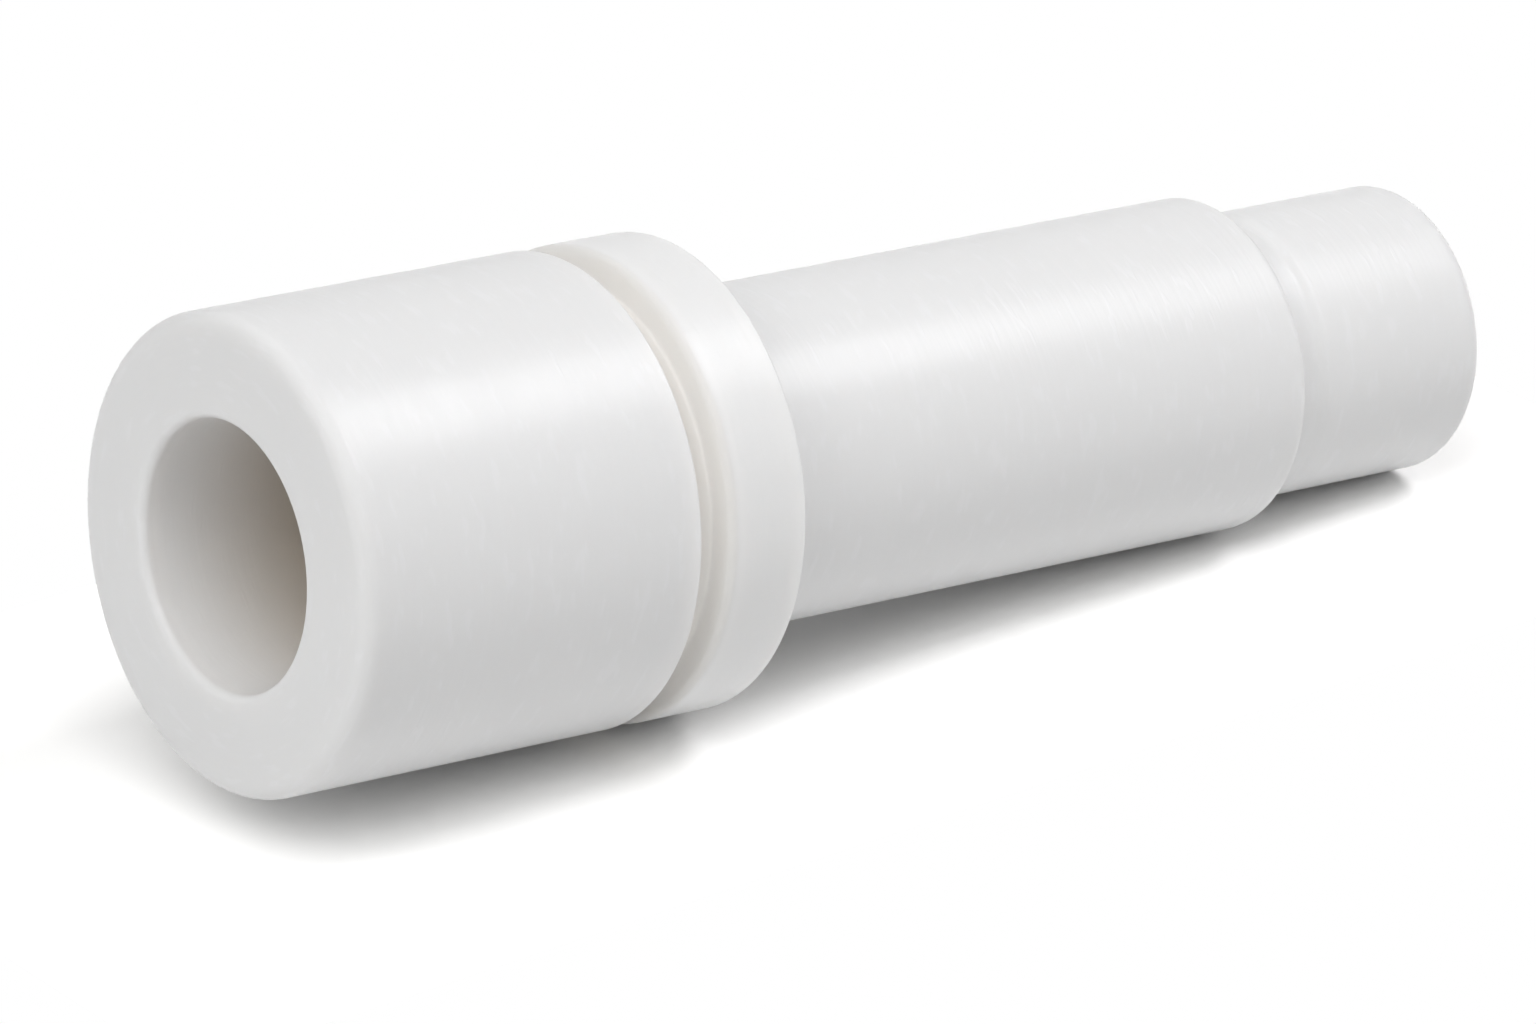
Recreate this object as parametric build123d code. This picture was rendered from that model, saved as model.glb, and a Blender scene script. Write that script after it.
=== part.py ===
from build123d import *
from math import radians, tan
from typing import NamedTuple
import os

# A hollow rod turned in one clamping from white bar: a thick head with a groove and a collar,
# a narrower shank, and a spigot that steps down again behind a relief. It stands on its head.
# Heights are measured from the head's face, up the axis. All sizes are in millimetres.

# Head, groove and collar share the diameter of the bar.
bar_diameter = 60.0
head_length = 50.0
groove_width = 4.5
groove_depth = 4.0
collar_width = 11.5

# Shank and spigot
shank_diameter = 43.0
shank_length = 87.0
shoulder_width = 3.0
spigot_length = 32.0

# Relief at the foot of the spigot, with a ramp up to the spigot's own diameter
relief_width = 5.0
relief_depth = 0.5
relief_ramp_length = 1.2

# Hollow: a wide socket from the head's face, then a narrower bore to the spigot's end
socket_diameter = 34.0
socket_depth = 60.0
bore_diameter = 24.0
bore_chamfer = 0.8

# Rounded edges
mouth_radius = 1.0
face_edge_radius = 2.0
head_back_radius = 0.3
groove_floor_radius = 0.5
collar_front_radius = 0.9
collar_back_radius = 0.5
shank_root_radius = 1.0
shank_edge_radius = 1.3
relief_root_radius = 0.6
relief_blend_radius = 2.0
spigot_edge_radius = 2.4
socket_floor_radius = 0.8
bore_step_radius = 0.4

# A rounding takes at most this share of the shorter side next to it.
rounding_share = 0.48

# Heights of the steps
groove_top = head_length + groove_width
collar_top = groove_top + collar_width
shoulder_height = collar_top + shank_length
relief_floor_top = shoulder_height + relief_width
relief_top = relief_floor_top + relief_ramp_length
rod_length = shoulder_height + spigot_length

# Radii of the steps
bar_radius = bar_diameter / 2
groove_radius = bar_radius - groove_depth
shank_radius = shank_diameter / 2
spigot_radius = shank_radius - shoulder_width
relief_radius = spigot_radius - relief_depth
socket_radius = socket_diameter / 2
bore_radius = bore_diameter / 2


class Corner(NamedTuple):
    """One corner of the wall's section: its radius from the axis, height and rounding."""

    radius: float
    height: float
    rounding: float = 0.0


def head_corners():
    """The head: its annular face and its cylinder."""
    return [
        Corner(socket_radius, 0, mouth_radius),
        Corner(bar_radius, 0, face_edge_radius),
        Corner(bar_radius, head_length, head_back_radius),
    ]


def groove_corners():
    """The narrow groove between head and collar."""
    return [
        Corner(groove_radius, head_length, groove_floor_radius),
        Corner(groove_radius, groove_top, groove_floor_radius),
    ]


def collar_corners():
    """The collar, of the same diameter as the head."""
    return [
        Corner(bar_radius, groove_top, collar_front_radius),
        Corner(bar_radius, collar_top, collar_back_radius),
    ]


def shank_corners():
    """The long shank, from the collar to the shoulder."""
    return [
        Corner(shank_radius, collar_top, shank_root_radius),
        Corner(shank_radius, shoulder_height, shank_edge_radius),
    ]


def spigot_corners():
    """The spigot, with the relief at its foot and a well rounded end."""
    return [
        Corner(relief_radius, shoulder_height, relief_root_radius),
        Corner(relief_radius, relief_floor_top, relief_blend_radius),
        Corner(spigot_radius, relief_top, relief_blend_radius),
        Corner(spigot_radius, rod_length, spigot_edge_radius),
    ]


def hollow_corners():
    """The hollow, from the spigot's end back to the head: bore, step and socket."""
    return [
        Corner(bore_radius + bore_chamfer, rod_length),
        Corner(bore_radius, rod_length - bore_chamfer),
        Corner(bore_radius, socket_depth, bore_step_radius),
        Corner(socket_radius, socket_depth, socket_floor_radius),
    ]


def side(start, end):
    """The straight side from one corner to the next."""
    return Vector(end.radius - start.radius, end.height - start.height)


def rounding_within(before, corner, after):
    """The corner's rounding, kept within the shorter side next to it."""
    side_in = side(before, corner)
    side_out = side(corner, after)
    turn = radians(side_in.get_angle(side_out))
    room = rounding_share * min(side_in.length, side_out.length)
    return min(corner.rounding, room / tan(turn / 2))


def wall_section():
    """The wall's section on one side of the axis, drawn round from the socket's mouth."""
    corners = (
        head_corners()
        + groove_corners()
        + collar_corners()
        + shank_corners()
        + spigot_corners()
        + hollow_corners()
    )
    befores = corners[-1:] + corners[:-1]
    afters = corners[1:] + corners[:1]
    roundings = [rounding_within(*three) for three in zip(befores, corners, afters)]
    points = [(corner.radius, corner.height) for corner in corners]
    outline = FilletPolyline(*points, radius=roundings, close=True)
    return Plane.XZ * make_face(outline)


def hollow_rod():
    """The whole rod: its wall's section turned once round the axis."""
    return revolve(wall_section(), axis=Axis.Z)


os.makedirs("parts", exist_ok=True)
export_step(hollow_rod(), "parts/hollow_rod.step")
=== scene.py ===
"""Studio scene of a hollow white rod, turned in one piece from a round bar.

The rod keeps the place that the frame gives it: it stands on its head at the origin, and its
axis is +Z. The camera lies on its side instead, so that in the picture the rod lies on pale ground.
All lengths are in metres, unless a name ends in _mm.
"""

import logging
import math
from dataclasses import dataclass, field
from enum import Enum

import bmesh
import bpy
from mathutils import Matrix, Vector


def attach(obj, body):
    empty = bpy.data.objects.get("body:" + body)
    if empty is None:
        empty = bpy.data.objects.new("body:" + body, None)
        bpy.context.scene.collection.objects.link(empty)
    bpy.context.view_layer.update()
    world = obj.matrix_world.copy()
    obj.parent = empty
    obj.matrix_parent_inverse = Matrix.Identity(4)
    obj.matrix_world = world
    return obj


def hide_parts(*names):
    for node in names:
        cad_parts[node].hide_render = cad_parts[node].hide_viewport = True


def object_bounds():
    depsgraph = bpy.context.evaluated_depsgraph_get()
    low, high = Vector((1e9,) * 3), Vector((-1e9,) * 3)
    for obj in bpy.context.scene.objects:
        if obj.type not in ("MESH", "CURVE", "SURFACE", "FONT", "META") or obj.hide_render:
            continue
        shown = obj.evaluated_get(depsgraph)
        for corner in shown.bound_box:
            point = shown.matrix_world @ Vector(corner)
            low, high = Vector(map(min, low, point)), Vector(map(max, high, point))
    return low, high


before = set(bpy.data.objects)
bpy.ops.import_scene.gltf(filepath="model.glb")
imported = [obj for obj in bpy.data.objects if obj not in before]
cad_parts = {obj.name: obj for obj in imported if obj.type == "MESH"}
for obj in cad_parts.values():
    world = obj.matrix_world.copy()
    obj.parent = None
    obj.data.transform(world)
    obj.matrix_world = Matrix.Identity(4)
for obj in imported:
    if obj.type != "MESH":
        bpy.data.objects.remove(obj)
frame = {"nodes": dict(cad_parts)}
cad_low, cad_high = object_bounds()

log = logging.getLogger("hollow_rod")

MM = 0.001
FULL_TURN = 2 * math.pi
WHITE = (1.0, 1.0, 1.0, 1.0)

# A bevel profile that gives a round arc.
ROUND_PROFILE = 0.5

# Lamp light that reaches what a camera sees directly has a ray depth under this.
FIRST_HIT_DEPTH = 1.5

# The Mix node has several sockets of one name, so they are told by their places.
MIX_SHARE = 0
MIX_NUMBERS = (2, 3)
MIX_NUMBER_OUT = 0
MIX_COLOURS = (6, 7)
MIX_COLOUR_OUT = 2

Socket = bpy.types.NodeSocket


class Ray(Enum):
    """A kind of ray, by the name of its output on the Light Path node."""

    CAMERA = "Is Camera Ray"
    GLOSSY = "Is Glossy Ray"
    TRANSMISSION = "Is Transmission Ray"


# ---- how the rod lies in the picture


@dataclass(frozen=True)
class Lie:
    """How the rod lies on the ground in the picture, told in the rod's own frame.

    It rests on the collar's back edge and on the spigot's end, so its axis is tilted to the ground.
    """

    tilt_deg: float = 5.604
    drop_mm: float = 36.255

    def square_up(self) -> Vector:
        """The direction square to the axis that points away from the ground."""
        return Vector((1, -1, 0)).normalized()

    def up(self) -> Vector:
        """The ground's own upward direction."""
        tilt = math.radians(self.tilt_deg)
        return self.square_up() * math.cos(tilt) - Vector((0, 0, 1)) * math.sin(tilt)

    def across(self) -> Vector:
        """Along the ground and square to the axis, towards the camera's side."""
        return Vector((1, 1, 0)).normalized()

    def along(self) -> Vector:
        """Along the ground, from the head towards the spigot."""
        tilt = math.radians(self.tilt_deg)
        return self.square_up() * math.sin(tilt) + Vector((0, 0, 1)) * math.cos(tilt)

    def point(self, along: float, across: float, up: float) -> Vector:
        """A place in the studio.

        Args:
            along: Distance from the head's face towards the spigot.
            across: Distance from the axis towards the camera's side.
            up: Height above the ground.

        Returns:
            The place in the shared frame.
        """
        height = up - self.drop_mm * MM
        return self.along() * along + self.across() * across + self.up() * height


# ---- materials


class Nodes:
    """A material's or a world's node tree, with short calls that add and join nodes."""

    def __init__(self, tree: bpy.types.NodeTree) -> None:
        """Empty the tree.

        Args:
            tree: The node tree to build in.
        """
        self.tree = tree
        self.tree.nodes.clear()

    def add(self, kind: str, **settings: object) -> bpy.types.Node:
        """Add a node.

        Args:
            kind: The node's type name, without the leading ShaderNode.
            settings: Values of the node's own settings.

        Returns:
            The new node.
        """
        node = self.tree.nodes.new("ShaderNode" + kind)
        for name, value in settings.items():
            setattr(node, name, value)
        return node

    def put(self, node: bpy.types.Node, **values: object) -> bpy.types.Node:
        """Set a node's inputs by name, with _ for a blank.

        Args:
            node: The node to set.
            values: A number or colour, or the output socket to link.

        Returns:
            The same node.
        """
        for name, value in values.items():
            socket = node.inputs[name.replace("_", " ")]
            self.feed(socket, value)
        return node

    def feed(self, socket: Socket, value: object) -> None:
        """Link an output to a socket, or set the socket's value.

        Args:
            socket: The input socket.
            value: An output socket, or the value itself.
        """
        if isinstance(value, Socket):
            self.tree.links.new(value, socket)
        else:
            socket.default_value = value

    def math(self, operation: str, *values: object) -> Socket:
        """Work out a number.

        Args:
            operation: The Math node's operation.
            values: Its inputs in order, numbers or output sockets.

        Returns:
            The result's socket.
        """
        node = self.add("Math", operation=operation)
        for socket, value in zip(node.inputs, values):
            self.feed(socket, value)
        return node.outputs[0]

    def dot(self, vector: Socket, direction: Vector) -> Socket:
        """How far a vector points along a direction.

        Args:
            vector: The vector's socket.
            direction: The fixed direction.

        Returns:
            The dot product's socket.
        """
        node = self.add("VectorMath", operation="DOT_PRODUCT")
        self.feed(node.inputs[0], vector)
        self.feed(node.inputs[1], direction)
        return node.outputs["Value"]

    def blend(self, share: object, low: object, high: object) -> Socket:
        """Mix two colours.

        Args:
            share: The second colour's share, a number or an output socket.
            low: The colour at a share of 0.
            high: The colour at a share of 1.

        Returns:
            The mixed colour's socket.
        """
        node = self.add("Mix", data_type="RGBA")
        for place, value in zip((MIX_SHARE, *MIX_COLOURS), (share, low, high)):
            self.feed(node.inputs[place], value)
        return node.outputs[MIX_COLOUR_OUT]

    def choose(self, share: Socket, low: object, high: object) -> Socket:
        """Mix two numbers.

        Args:
            share: The second number's share, an output socket.
            low: The number at a share of 0.
            high: The number at a share of 1.

        Returns:
            The mixed number's socket.
        """
        node = self.add("Mix", data_type="FLOAT")
        for place, value in zip((MIX_SHARE, *MIX_NUMBERS), (share, low, high)):
            self.feed(node.inputs[place], value)
        return node.outputs[MIX_NUMBER_OUT]

    def ramp(
        self, value: Socket, start: float, end: float, low: float = 0.0, high: float = 1.0
    ) -> Socket:
        """Spread a value smoothly between two limits.

        Args:
            value: The value's socket.
            start: The value that gives the low limit.
            end: The value that gives the high limit.
            low: The low limit.
            high: The high limit.

        Returns:
            The result's socket.
        """
        node = self.add("MapRange", interpolation_type="SMOOTHSTEP")
        for socket, given in zip(node.inputs, (value, start, end, low, high)):
            self.feed(socket, given)
        return node.outputs[0]

    def show_front(self, front: bpy.types.Node) -> None:
        """Finish a material that shows on the front of its faces and is see-through from behind.

        Args:
            front: The front's shader.
        """
        back = self.add("BsdfTransparent")
        chosen = self.add("MixShader")
        self.feed(chosen.inputs[0], self.add("NewGeometry").outputs["Backfacing"])
        self.feed(chosen.inputs[1], front.outputs[0])
        self.feed(chosen.inputs[2], back.outputs[0])
        self.put(self.add("OutputMaterial"), Surface=chosen.outputs[0])

    def any_ray(self, *kinds: Ray) -> Socket:
        """Whether the ray is of one of some kinds.

        Args:
            kinds: The kinds.

        Returns:
            A socket that is 1 for such a ray and 0 for any other.
        """
        path = self.add("LightPath").outputs
        found = path[kinds[0].value]
        for kind in kinds[1:]:
            found = self.math("MAXIMUM", found, path[kind.value])
        return found


@dataclass
class Spot:
    """Where a point of the surface lies, as sockets: its coordinates and its radius."""

    x: Socket
    y: Socket
    z: Socket
    radius: Socket


@dataclass(frozen=True)
class PaintedTint:
    """Painted light and shade: a colour laid on the rod nearer to the axis than a radius, between
    two heights.

    A roughness of 0 leaves the rod's own.
    """

    colour: tuple
    radius_mm: float
    from_mm: float
    to_mm: float
    fade_in_mm: float
    fade_out_mm: float
    roughness: float = 0.0

    def share(self, nodes: Nodes, spot: Spot) -> Socket:
        """How much of the tint a place has.

        Args:
            nodes: The material's nodes.
            spot: The place.

        Returns:
            The share's socket, from 0 to 1.
        """
        begun = nodes.ramp(spot.z, self.from_mm * MM, (self.from_mm + self.fade_in_mm) * MM)
        left = nodes.ramp(spot.z, self.to_mm * MM, (self.to_mm - self.fade_out_mm) * MM)
        inside = nodes.math("LESS_THAN", spot.radius, self.radius_mm * MM)
        return nodes.math("MULTIPLY", nodes.math("MULTIPLY", begun, left), inside)


@dataclass(frozen=True)
class TurnedPtfe:
    """White waxy plastic as it comes off the lathe.

    It has a soft gloss and fine turning marks, and light sinks into it. Pale flecks in its colour
    are painted glints of the marks, and painted bands of colour stand in for light and shade in the
    hollow, in the groove and on the collar.
    """

    name: str = "turned_ptfe"
    colour: tuple = (0.87, 0.87, 0.868, 1.0)
    # Colour of the painted glints: pale, cool flecks along the turning marks.
    painted_glint_colour: tuple = (0.90, 0.90, 0.905, 1.0)
    ior: float = 1.35
    depth_mm: float = 3.0
    depth_by_colour: tuple = (1.0, 0.92, 0.86)
    dull: float = 0.35
    dull_until: float = 0.3
    glossy: float = 0.28
    glossy_from: float = 0.7
    mark_pitch_mm: float = 0.8
    mark_length_mm: float = 24.0
    mark_height_mm: float = 0.025
    streak_pitch_mm: float = 1.3
    streak_length_mm: float = 5.0
    streak_from: float = 0.58
    streak_full: float = 0.70
    painted_glint_share: float = 0.5
    noise_detail: float = 1.0
    noise_roughness: float = 0.6
    painted_tints: tuple = (
        # Painted light: the hollow's walls a little lighter than the rest of the rod.
        PaintedTint((0.95, 0.945, 0.94, 1.0), 17.6, 0.4, 190.0, 2.0, 1.0),
        # Painted shade: the hollow turns dark and warm-brown away from both its ends, deepest in
        # its middle.
        PaintedTint((0.70, 0.625, 0.53, 1.0), 17.6, 2.0, 186.0, 29.0, 34.0),
        # Painted light: a lighter, warm colour in the groove for the light glowing in it. The
        # groove is also rougher.
        PaintedTint((0.93, 0.915, 0.89, 1.0), 30.5, 49.9, 54.6, 0.1, 0.2, 0.65),
        # Painted shade: a darker, warm colour on the collar's front face and its rounding.
        PaintedTint((0.83, 0.82, 0.80, 1.0), 30.5, 54.3, 56.0, 0.3, 1.2),
        # Painted light: the collar a little lighter than the rest of the rod.
        PaintedTint((0.905, 0.905, 0.90, 1.0), 30.5, 55.2, 67.0, 1.2, 0.4),
    )

    def build(self) -> bpy.types.Material:
        """Make the material.

        Returns:
            The finished material.
        """
        material = bpy.data.materials.new(self.name)
        material.use_nodes = True
        nodes = Nodes(material.node_tree)
        spot = self.spot(nodes)
        lines = self.lines(nodes, spot, self.mark_pitch_mm, self.mark_length_mm)
        patches = self.lines(nodes, spot, self.streak_pitch_mm, self.streak_length_mm)
        found = nodes.ramp(patches, self.streak_from, self.streak_full)
        # Painted glints: flecks of this noise lighten the colour a little, as glints of the marks
        # would. The same flecks also bump the surface.
        streaks_and_glints = nodes.math("MULTIPLY", found, self.painted_glint_share)
        colour = nodes.blend(streaks_and_glints, self.colour, self.painted_glint_colour)
        roughness = nodes.ramp(lines, self.dull_until, self.glossy_from, self.dull, self.glossy)
        # Lay the painted light and shade over the colour. The groove's band also makes it rougher.
        for painted_band in self.painted_tints:
            share = painted_band.share(nodes, spot)
            colour = nodes.blend(share, colour, painted_band.colour)
            if painted_band.roughness:
                roughness = nodes.choose(share, roughness, painted_band.roughness)
        marks = nodes.math("ADD", lines, streaks_and_glints)
        bump = nodes.add("Bump")
        nodes.put(bump, Strength=1.0, Distance=self.mark_height_mm * MM, Height=marks)
        shader = nodes.add("BsdfPrincipled", subsurface_method="BURLEY")
        nodes.put(
            shader,
            Base_Color=colour,
            Roughness=roughness,
            IOR=self.ior,
            Normal=bump.outputs[0],
            Subsurface_Weight=1.0,
            Subsurface_Radius=self.depth_by_colour,
            Subsurface_Scale=self.depth_mm * MM,
        )
        nodes.put(nodes.add("OutputMaterial"), Surface=shader.outputs[0])
        return material

    def spot(self, nodes: Nodes) -> Spot:
        """The place on the surface.

        Args:
            nodes: The material's nodes.

        Returns:
            The place, as sockets.
        """
        split = nodes.add("SeparateXYZ")
        nodes.feed(split.inputs[0], nodes.add("TexCoord").outputs["Object"])
        x, y, z = split.outputs
        square = nodes.math("ADD", nodes.math("MULTIPLY", x, x), nodes.math("MULTIPLY", y, y))
        return Spot(x, y, z, nodes.math("SQRT", square))

    def lines(self, nodes: Nodes, spot: Spot, pitch_mm: float, length_mm: float) -> Socket:
        """A noise that runs round the axis in lines, on the cylinders as on the flat faces.

        Args:
            nodes: The material's nodes.
            spot: The place on the surface.
            pitch_mm: How far the lines lie apart.
            length_mm: How long they are.

        Returns:
            The noise's socket.
        """
        travel = nodes.math("ADD", spot.z, spot.radius)
        joined = nodes.add("CombineXYZ")
        nodes.feed(joined.inputs[0], nodes.math("DIVIDE", spot.x, length_mm * MM))
        nodes.feed(joined.inputs[1], nodes.math("DIVIDE", spot.y, length_mm * MM))
        nodes.feed(joined.inputs[2], nodes.math("DIVIDE", travel, pitch_mm * MM))
        noise = nodes.add("TexNoise", noise_dimensions="3D")
        nodes.put(
            noise,
            Vector=joined.outputs[0],
            Scale=1.0,
            Detail=self.noise_detail,
            Roughness=self.noise_roughness,
        )
        return noise.outputs[0]


@dataclass(frozen=True)
class GroundPaper:
    """White paper that takes the studio's light and the rod's shadow.

    It shows from its front only. Cameras and reflections see it overexposed, so it clears to
    white a short way from the rod.
    """

    name: str = "ground_paper"
    colour: tuple = (0.79, 0.79, 0.79, 1.0)
    overexposed: tuple = (1.52, 1.515, 1.50, 1.0)

    def build(self) -> bpy.types.Material:
        """Make the material.

        Returns:
            The finished material.
        """
        material = bpy.data.materials.new(self.name)
        material.use_nodes = True
        nodes = Nodes(material.node_tree)
        seen = nodes.any_ray(Ray.CAMERA, Ray.GLOSSY, Ray.TRANSMISSION)
        colour = nodes.blend(seen, self.colour, self.overexposed)
        nodes.show_front(nodes.put(nodes.add("BsdfDiffuse"), Color=colour))
        return material


@dataclass(frozen=True)
class FloorPaper:
    """White paper with a soft shadow where something stands close over it.

    It shows from its front only.
    """

    name: str = "floor_paper"
    shade: tuple = (0.36, 0.355, 0.35, 1.0)
    reach_mm: float = 50.0
    open_share: float = 0.95
    samples: int = 16

    def build(self) -> bpy.types.Material:
        """Make the material.

        Returns:
            The finished material.
        """
        material = bpy.data.materials.new(self.name)
        material.use_nodes = True
        material.cycles.emission_sampling = "NONE"
        nodes = Nodes(material.node_tree)
        openness = nodes.add("AmbientOcclusion", samples=self.samples)
        nodes.put(openness, Distance=self.reach_mm * MM)
        light = nodes.ramp(openness.outputs["AO"], 0.0, self.open_share)
        paper = nodes.put(nodes.add("Emission"), Color=nodes.blend(light, self.shade, WHITE))
        nodes.show_front(paper)
        return material


# ---- the rod


@dataclass(frozen=True)
class Corner:
    """One corner of the wall's section: radius, height and rounding, in millimetres."""

    radius: float
    height: float
    rounding: float

    def point(self) -> Vector:
        """The corner's place in the plane through the axis."""
        return Vector((self.radius, 0, self.height))


def box_radius_mm() -> float:
    """The smallest half width of the CAD node's box, which the spun rod keeps within."""
    return min(-cad_low[0], -cad_low[1], cad_high[0], cad_high[1]) / MM


@dataclass
class TurnedRod:
    """The whole rod, spun from one closed section of its wall. Sizes are in millimetres."""

    name: str = "turned_rod"
    bar_radius: float = field(default_factory=box_radius_mm)
    head_length: float = 50.0
    groove_radius: float = 26.0
    groove_top: float = 54.5
    collar_top: float = 66.0
    shank_radius: float = 21.5
    shoulder_height: float = 153.0
    relief_radius: float = 18.0
    relief_floor_top: float = 158.0
    relief_top: float = 159.2
    spigot_radius: float = 18.5
    length: float = 185.0
    bore_radius: float = 12.0
    bore_chamfer: float = 0.8
    socket_radius: float = 17.0
    socket_depth: float = 60.0
    rounding_share: float = 0.48
    arc_segments: int = 10
    ring_steps: int = 256
    support: float = 0.25
    supported_from: float = 1.0
    merge_distance: float = 0.0005
    finish: TurnedPtfe = field(default_factory=TurnedPtfe)

    def outside(self) -> list[Corner]:
        """The corners outside, from the mouth of the socket to the spigot's end."""
        return [
            Corner(self.socket_radius, 0, 1.0),
            Corner(self.bar_radius, 0, 2.0),
            Corner(self.bar_radius, self.head_length, 0.3),
            Corner(self.groove_radius, self.head_length, 0.5),
            Corner(self.groove_radius, self.groove_top, 0.5),
            Corner(self.bar_radius, self.groove_top, 0.9),
            Corner(self.bar_radius, self.collar_top, 0.5),
            Corner(self.shank_radius, self.collar_top, 1.0),
            Corner(self.shank_radius, self.shoulder_height, 1.3),
            Corner(self.relief_radius, self.shoulder_height, 0.6),
            Corner(self.relief_radius, self.relief_floor_top, 2.0),
            Corner(self.spigot_radius, self.relief_top, 2.0),
            Corner(self.spigot_radius, self.length, 2.4),
        ]

    def inside(self) -> list[Corner]:
        """The corners of the hollow, from the spigot's end back to the socket."""
        return [
            Corner(self.bore_radius + self.bore_chamfer, self.length, 0.15),
            Corner(self.bore_radius, self.length - self.bore_chamfer, 0.15),
            Corner(self.bore_radius, self.socket_depth, 0.4),
            Corner(self.socket_radius, self.socket_depth, 0.8),
        ]

    def arc_offset(self, before: Corner, corner: Corner, after: Corner) -> float:
        """How far from its corner a rounding starts.

        Args:
            before: The corner before it in the section.
            corner: The corner that is rounded.
            after: The corner after it.

        Returns:
            The distance along both sides, kept within the shorter one.
        """
        side_in = corner.point() - before.point()
        side_out = after.point() - corner.point()
        wanted = corner.rounding * math.tan(side_in.angle(side_out) / 2)
        return min(wanted, self.rounding_share * min(side_in.length, side_out.length))

    def section(self) -> bmesh.types.BMesh:
        """Draw the wall's section as a closed loop of edges with rounded corners.

        Returns:
            A mesh with the loop alone, in millimetres.
        """
        corners = self.outside() + self.inside()
        mesh = bmesh.new()
        points = [mesh.verts.new(corner.point()) for corner in corners]
        mesh.faces.new(points)
        befores = corners[-1:] + corners[:-1]
        afters = corners[1:] + corners[:1]
        for point, before, corner, after in zip(points, befores, corners, afters):
            self.round_corner(mesh, point, self.arc_offset(before, corner, after))
        bmesh.ops.delete(mesh, geom=mesh.faces[:], context="FACES_ONLY")
        self.support_arcs(mesh)
        return mesh

    def round_corner(
        self, mesh: bmesh.types.BMesh, point: bmesh.types.BMVert, offset: float
    ) -> None:
        """Round one corner of the section.

        Args:
            mesh: The section.
            point: Its corner.
            offset: The distance from the corner at which the arc starts.
        """
        bmesh.ops.bevel(
            mesh,
            geom=[point],
            offset=offset,
            offset_type="OFFSET",
            segments=self.arc_segments,
            profile=ROUND_PROFILE,
            affect="VERTICES",
            material=-1,
            clamp_overlap=False,
        )

    def support_arcs(self, mesh: bmesh.types.BMesh) -> None:
        """Hold the straight sides flat by a point near each of their ends.

        Args:
            mesh: The section.
        """
        for edge in mesh.edges[:]:
            length = edge.calc_length()
            if length < self.supported_from:
                continue
            start, end = edge.verts
            far_edge, _ = bmesh.utils.edge_split(edge, start, self.support / length)
            rest = edge if end in edge.verts else far_edge
            bmesh.utils.edge_split(rest, end, self.support / rest.calc_length())

    def build(self) -> bpy.types.Object:
        """Spin the section round the axis and dress the rod.

        Returns:
            The rod's object.
        """
        mesh = self.section()
        bmesh.ops.spin(
            mesh,
            geom=mesh.verts[:] + mesh.edges[:],
            axis=(0, 0, 1),
            cent=(0, 0, 0),
            angle=FULL_TURN,
            steps=self.ring_steps,
            use_merge=True,
            use_duplicate=False,
        )
        bmesh.ops.remove_doubles(mesh, verts=mesh.verts, dist=self.merge_distance)
        bmesh.ops.recalc_face_normals(mesh, faces=mesh.faces)
        bmesh.ops.scale(mesh, vec=(MM, MM, MM), verts=mesh.verts)
        for face in mesh.faces:
            face.smooth = True
        data = bpy.data.meshes.new(self.name)
        mesh.to_mesh(data)
        mesh.free()
        data.materials.append(self.finish.build())
        rod = bpy.data.objects.new(self.name, data)
        bpy.context.scene.collection.objects.link(rod)
        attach(rod, "root")
        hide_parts("hollow_rod")
        log.info("%s: %d faces", rod.name, len(data.polygons))
        return rod


# ---- studio


@dataclass
class Sheet:
    """A flat sheet of the stage, told by its middle and the ways to the middles of two edges.

    It casts no shadow. Cameras see it only if seen is set, and it lights the rod only if
    lights_rod is set.
    """

    name: str
    middle: Vector
    right: Vector
    ahead: Vector
    seen: bool
    lights_rod: bool
    finish: GroundPaper | FloorPaper

    def build(self) -> bpy.types.Object:
        """Make the sheet.

        Returns:
            The sheet's object.
        """
        facing = self.right.cross(self.ahead).normalized()
        spread = Matrix((self.right, self.ahead, facing)).transposed().to_4x4()
        place = Matrix.Translation(self.middle) @ spread
        mesh = bmesh.new()
        bmesh.ops.create_grid(mesh, x_segments=1, y_segments=1, size=1.0, matrix=place)
        data = bpy.data.meshes.new(self.name)
        mesh.to_mesh(data)
        mesh.free()
        data.materials.append(self.finish.build())
        sheet = bpy.data.objects.new(self.name, data)
        bpy.context.scene.collection.objects.link(sheet)
        sheet.visible_camera = self.seen
        sheet.visible_diffuse = self.lights_rod
        sheet.visible_glossy = self.lights_rod
        sheet.visible_shadow = False
        log.info("%s: stage", sheet.name)
        return sheet


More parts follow.
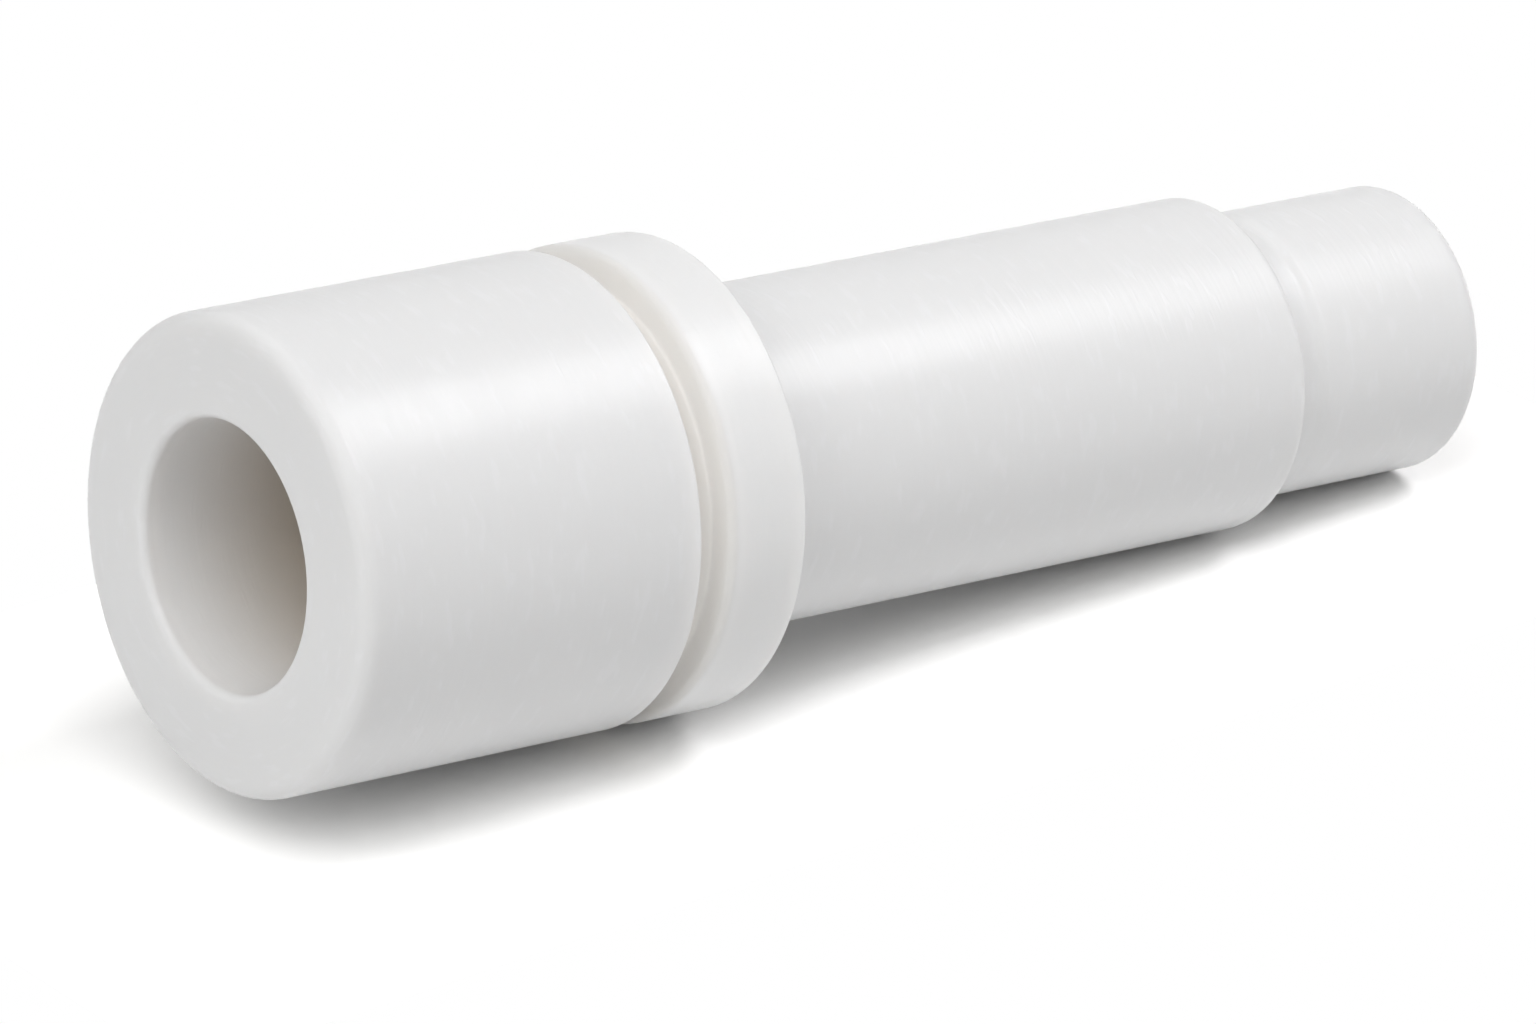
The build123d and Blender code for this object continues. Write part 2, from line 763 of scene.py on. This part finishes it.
@dataclass
class Softbox:
    """A soft lamp that shines on the rod from a place in the studio.

    With first_hit_only it lights only what a camera sees directly, and no reflection shows it.
    """

    name: str
    place: Vector
    aim: Vector
    level: float
    width: float
    length: float
    long_side: Vector
    colour: tuple = (1.0, 1.0, 1.0)
    first_hit_only: bool = False

    def build(self) -> bpy.types.Object:
        """Make the lamp.

        Returns:
            The lamp's object.
        """
        lamp = bpy.data.lights.new(self.name, "AREA")
        lamp.shape = "RECTANGLE"
        lamp.size = self.width
        lamp.size_y = self.length
        lamp.color = self.colour
        back = self.place - self.aim
        lamp.energy = self.level * math.pi**2 * back.length_squared
        away = back.normalized()
        long_side = (self.long_side - away * self.long_side.dot(away)).normalized()
        short_side = long_side.cross(away)
        turn = Matrix((short_side, long_side, away)).transposed().to_4x4()
        if self.first_hit_only:
            self.limit(lamp)
        box = bpy.data.objects.new(self.name, lamp)
        box.matrix_world = Matrix.Translation(self.place) @ turn
        box.visible_glossy = not self.first_hit_only
        bpy.context.scene.collection.objects.link(box)
        log.info("%s: lamp", box.name)
        return box

    def limit(self, lamp: bpy.types.Light) -> None:
        """Let the lamp light only what a camera sees directly, so that none of it bounces on.

        Args:
            lamp: The lamp.
        """
        lamp.use_nodes = True
        nodes = Nodes(lamp.node_tree)
        depth = nodes.add("LightPath").outputs["Ray Depth"]
        first_hit = nodes.math("LESS_THAN", depth, FIRST_HIT_DEPTH)
        light = nodes.put(nodes.add("Emission"), Strength=first_hit)
        nodes.put(nodes.add("OutputLight"), Surface=light.outputs[0])


@dataclass
class Surroundings:
    """The light of the white room: an even part, and a soft bright patch above the rod's head.

    None of it comes from below the ground.
    """

    lie: Lie
    even: float = 0.04
    patch: float = 1.0
    patch_narrowness: float = 4.0

    def build(self) -> None:
        """Make the world. Cameras and reflections see plain white."""
        world = bpy.data.worlds.new("white_room")
        world.use_nodes = True
        bpy.context.scene.world = world
        nodes = Nodes(world.node_tree)
        view = nodes.add("TexCoord").outputs["Generated"]
        towards = (self.lie.up() - self.lie.along()).normalized()
        facing = nodes.math("MAXIMUM", nodes.dot(view, towards), 0.0)
        spread = nodes.math("POWER", facing, self.patch_narrowness)
        over_ground = nodes.math("GREATER_THAN", nodes.dot(view, self.lie.up()), 0.0)
        room = nodes.math("ADD", nodes.math("MULTIPLY", spread, self.patch), self.even)
        lit = nodes.math("MULTIPLY", room, over_ground)
        seen = nodes.any_ray(Ray.CAMERA, Ray.GLOSSY, Ray.TRANSMISSION)
        strength = nodes.choose(seen, lit, 1.0)
        light = nodes.put(nodes.add("Background"), Color=WHITE, Strength=strength)
        nodes.put(nodes.add("OutputWorld"), Surface=light.outputs[0])
        log.info("%s: world", world.name)


@dataclass
class PictureCamera:
    """The camera at the picture's viewing angle: a long lens, upright above the ground."""

    lie: Lie
    place_mm: tuple = (-741.79, 1086.92, 642.72)
    aim_mm: tuple = (83.75, -1.41, 18.69)
    lens: float = 281.25
    sensor: float = 36.0
    nearest: float = 0.05
    farthest: float = 50.0

    def build(self) -> bpy.types.Object:
        """Make the camera and use it for the scene.

        Returns:
            The camera's object.
        """
        data = bpy.data.cameras.new("picture_camera")
        data.lens = self.lens
        data.sensor_width = self.sensor
        data.clip_start = self.nearest
        data.clip_end = self.farthest
        place = self.lie.point(*(part * MM for part in self.place_mm))
        aim = self.lie.point(*(part * MM for part in self.aim_mm))
        back = (place - aim).normalized()
        right = self.lie.up().cross(back).normalized()
        over = back.cross(right)
        camera = bpy.data.objects.new("picture_camera", data)
        turn = Matrix((right, over, back)).transposed().to_4x4()
        camera.matrix_world = Matrix.Translation(place) @ turn
        bpy.context.scene.collection.objects.link(camera)
        bpy.context.scene.camera = camera
        log.info("%s: camera", camera.name)
        return camera


@dataclass
class Studio:
    """Ground, floor, lamps, surroundings and camera round the rod."""

    lie: Lie = field(default_factory=Lie)
    ground_reach: float = 2.0
    card_reach_across: float = 0.059
    card_reach_along: float = 0.125
    card_lift: float = 0.00005
    floor_reach: float = 40.0
    floor_drop: float = 0.0002

    def build(self) -> None:
        """Make everything that isn't the rod."""
        PictureCamera(self.lie).build()
        Surroundings(self.lie).build()
        for sheet in self.sheets():
            sheet.build()
        for lamp in self.lamps():
            lamp.build()

    def sheets(self) -> list[Sheet]:
        """The ground that the rod lies on in the picture, and the floor that it stands on.

        The wide ground only lights the rod. A small card on it shows the shadow, and round the card
        the white room is seen, which is as bright.
        """
        ground = Sheet(
            name="ground",
            middle=self.lie.point(0.1, 0.0, 0.0),
            right=self.lie.across() * self.ground_reach,
            ahead=self.lie.along() * self.ground_reach,
            seen=False,
            lights_rod=True,
            finish=GroundPaper(),
        )
        card = Sheet(
            name="shadow_card",
            middle=self.lie.point(0.084, -0.009, self.card_lift),
            right=self.lie.across() * self.card_reach_across,
            ahead=self.lie.along() * self.card_reach_along,
            seen=True,
            lights_rod=False,
            finish=GroundPaper(),
        )
        floor = Sheet(
            name="floor",
            middle=Vector((0, 0, -self.floor_drop)),
            right=Vector((self.floor_reach, 0, 0)),
            ahead=Vector((0, self.floor_reach, 0)),
            seen=True,
            lights_rod=False,
            finish=FloorPaper(),
        )
        return [ground, card, floor]

    def lamps(self) -> list[Softbox]:
        """Two large softboxes above the rod, a small one for its sheen, and a fill below it."""
        middle = self.lie.point(0.09, 0.0, 0.03)
        return [
            Softbox(
                name="side_box",
                place=self.lie.point(0.35, 0.66, 0.66),
                aim=middle,
                level=0.105,
                width=0.7,
                length=1.2,
                long_side=self.lie.along(),
            ),
            Softbox(
                name="front_box",
                place=self.lie.point(-0.40, 0.32, 0.86),
                aim=middle,
                level=0.45,
                width=0.7,
                length=1.2,
                long_side=self.lie.along(),
            ),
            Softbox(
                name="sheen",
                place=self.lie.point(0.68, 0.24, 0.80),
                aim=middle,
                level=0.39,
                width=0.42,
                length=0.35,
                long_side=self.lie.along(),
                colour=(0.99, 0.985, 1.0),
            ),
            Softbox(
                name="under_box",
                place=self.lie.point(0.095, 0.0, -0.024),
                aim=self.lie.point(0.095, 0.0, 0.0),
                level=1.7,
                width=0.026,
                length=0.24,
                long_side=self.lie.along(),
                first_hit_only=True,
            ),
        ]


def main() -> None:
    """Build the studio and the rod."""
    logging.basicConfig(level=logging.INFO, format="%(name)s: %(message)s")
    log.info("frame: %s", ", ".join(frame["nodes"]))
    bpy.context.scene.view_settings.view_transform = "Standard"
    Studio().build()
    TurnedRod().build()


if __name__ == "__main__":
    main()
